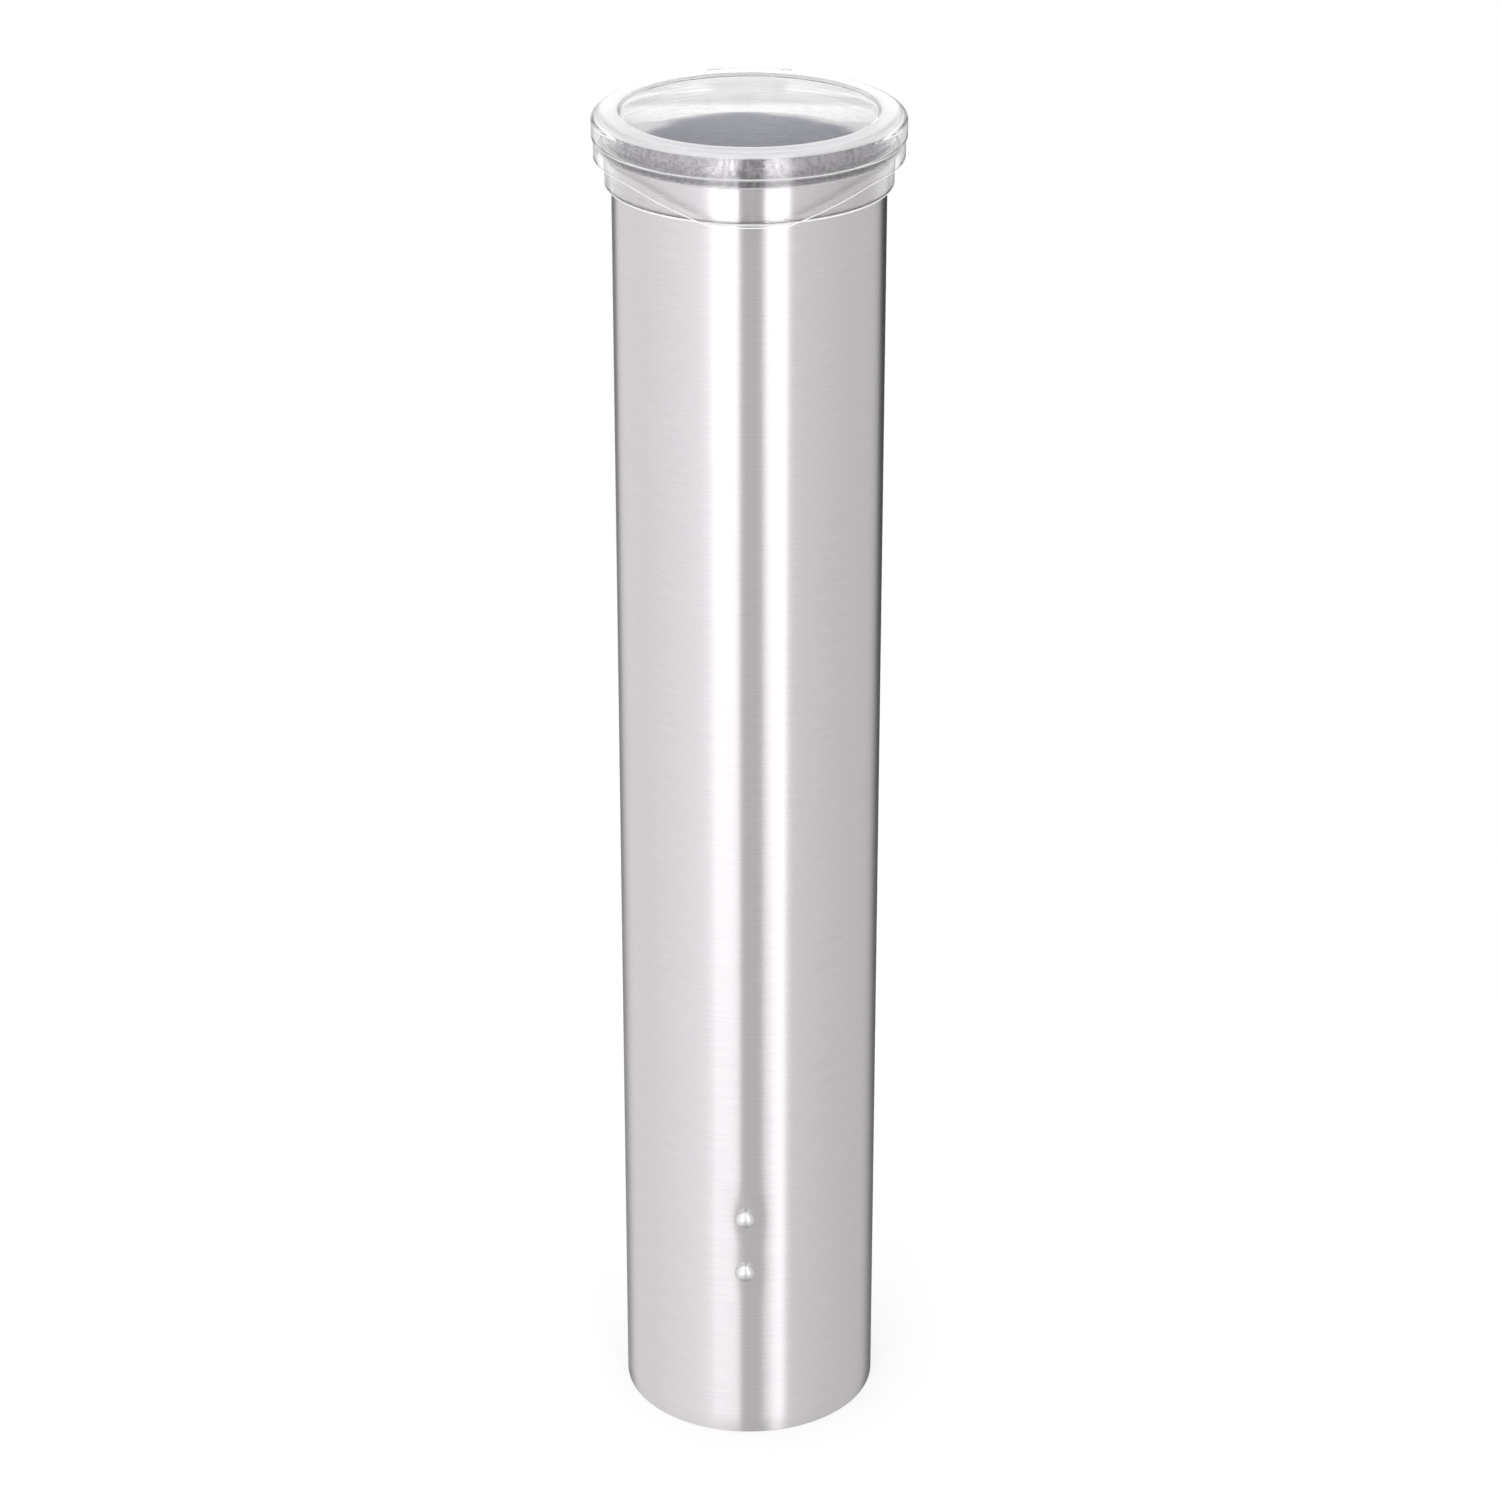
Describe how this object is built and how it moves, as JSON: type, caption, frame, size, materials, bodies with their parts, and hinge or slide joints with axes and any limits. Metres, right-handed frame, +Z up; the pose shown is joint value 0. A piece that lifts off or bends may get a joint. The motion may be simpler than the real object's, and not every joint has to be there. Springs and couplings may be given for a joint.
{
  "type": "cup dispenser",
  "caption": "Pull-type paper cup dispenser: brushed steel tube with clear collar and flip lid, gripping fingers in its foot and a keyhole wall bracket.",
  "frame": {"origin": "on the plane of the tube's lower rim, under the middle of the whole part; the tube's axis is 3.1 mm in front of it", "axes": "+Z up along the tube, -Y to the front, +Y to the wall"},
  "size_m": [0.0868, 0.093, 0.405],
  "materials": {
    "tube_steel": "brushed round the tube, satin",
    "bracket_steel": "mill finish, satin",
    "pin_steel": "ground",
    "rivet_steel": "polished domes",
    "clear_plastic": "clear, glossy, moulded",
    "milky_plastic": "natural milky, satin"
  },
  "bodies": {
    "housing": {"tube": "tube_steel", "collar": "clear_plastic", "hinge_pin": "pin_steel", "bracket": "bracket_steel", "finger_front_pad": "milky_plastic", "finger_right_pad": "milky_plastic", "finger_left_pad": "milky_plastic", "backing_plate_front": "bracket_steel", "backing_plate_right": "bracket_steel", "backing_plate_left": "bracket_steel", "rivet_front_lower": "rivet_steel", "rivet_front_upper": "rivet_steel", "rivet_right_lower": "rivet_steel", "rivet_right_upper": "rivet_steel", "rivet_left_lower": "rivet_steel", "rivet_left_upper": "rivet_steel", "bracket_rivet_right_lower": "rivet_steel", "bracket_rivet_right_upper": "rivet_steel", "bracket_rivet_left_lower": "rivet_steel", "bracket_rivet_left_upper": "rivet_steel"},
    "flip_lid": {"lid": "clear_plastic"},
    "front_finger": {"finger_front_blade": "milky_plastic"},
    "right_finger": {"finger_right_blade": "milky_plastic"},
    "left_finger": {"finger_left_blade": "milky_plastic"}
  },
  "joints": [
    {"name": "lid_hinge", "type": "hinge", "parent": "housing", "child": "flip_lid", "pos_m": [0, 0.0419, 0.401], "axis": [-1, 0, 0], "range_deg": [0, 90]},
    {"name": "front_finger_flex", "type": "hinge", "parent": "housing", "child": "front_finger", "pos_m": [-0.0012, -0.03938, 0.049], "axis": [-0.9995, 0.0332, 0], "range_deg": [-3, 14], "stiffness_Nm_per_rad": 0.3},
    {"name": "right_finger_flex", "type": "hinge", "parent": "housing", "child": "right_finger", "pos_m": [0.03202, 0.014, 0.049], "axis": [0.471, -0.8821, 0], "range_deg": [-3, 14], "stiffness_Nm_per_rad": 0.3},
    {"name": "left_finger_flex", "type": "hinge", "parent": "housing", "child": "left_finger", "pos_m": [-0.03082, 0.01608, 0.049], "axis": [0.5284, 0.849, 0], "range_deg": [-3, 14], "stiffness_Nm_per_rad": 0.3}
  ]
}
